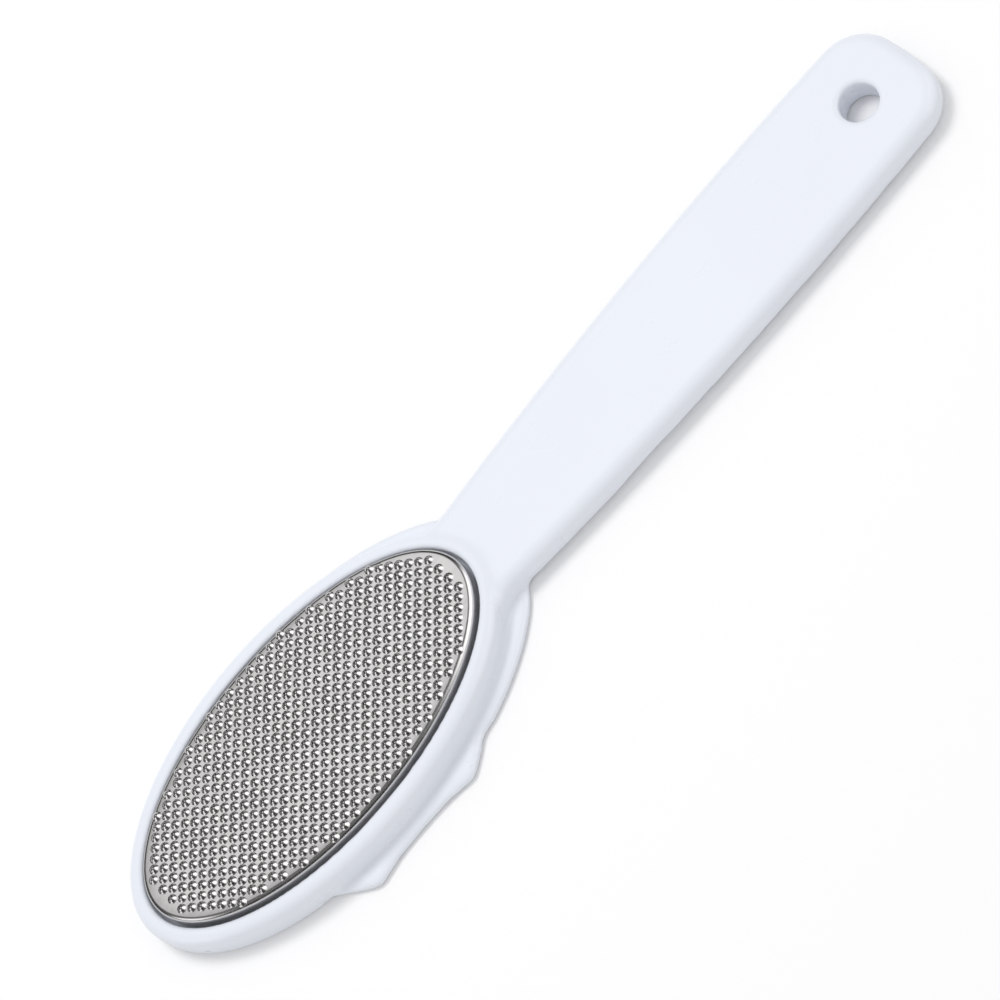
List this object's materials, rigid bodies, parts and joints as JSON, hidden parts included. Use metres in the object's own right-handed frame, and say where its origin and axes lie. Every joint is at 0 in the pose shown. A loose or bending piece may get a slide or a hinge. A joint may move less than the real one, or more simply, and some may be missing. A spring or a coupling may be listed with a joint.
{
  "type": "foot file",
  "caption": "Foot file with an oval head holding a toothed steel rasp plate in a raised rim, a low ledge with finger ears, and a flat handle with a hanging hole.",
  "frame": {"origin": "on the flat back, in the middle of the overall length and on the handle's centre line", "axes": "+X from the head to the hanging hole, +Z out of the rasp plate, -Y to the side with the finger ears"},
  "size_m": [0.2, 0.052, 0.0086],
  "materials": {
    "body": "gloss, cool white",
    "steel": "pressed, bright",
    "core": "as moulded",
    "adhesive": "cured film"
  },
  "bodies": {
    "root": {"handle_body": "body", "rasp_plate": "steel", "plate_core": "core", "bond_pad": "adhesive"}
  },
  "joints": []
}
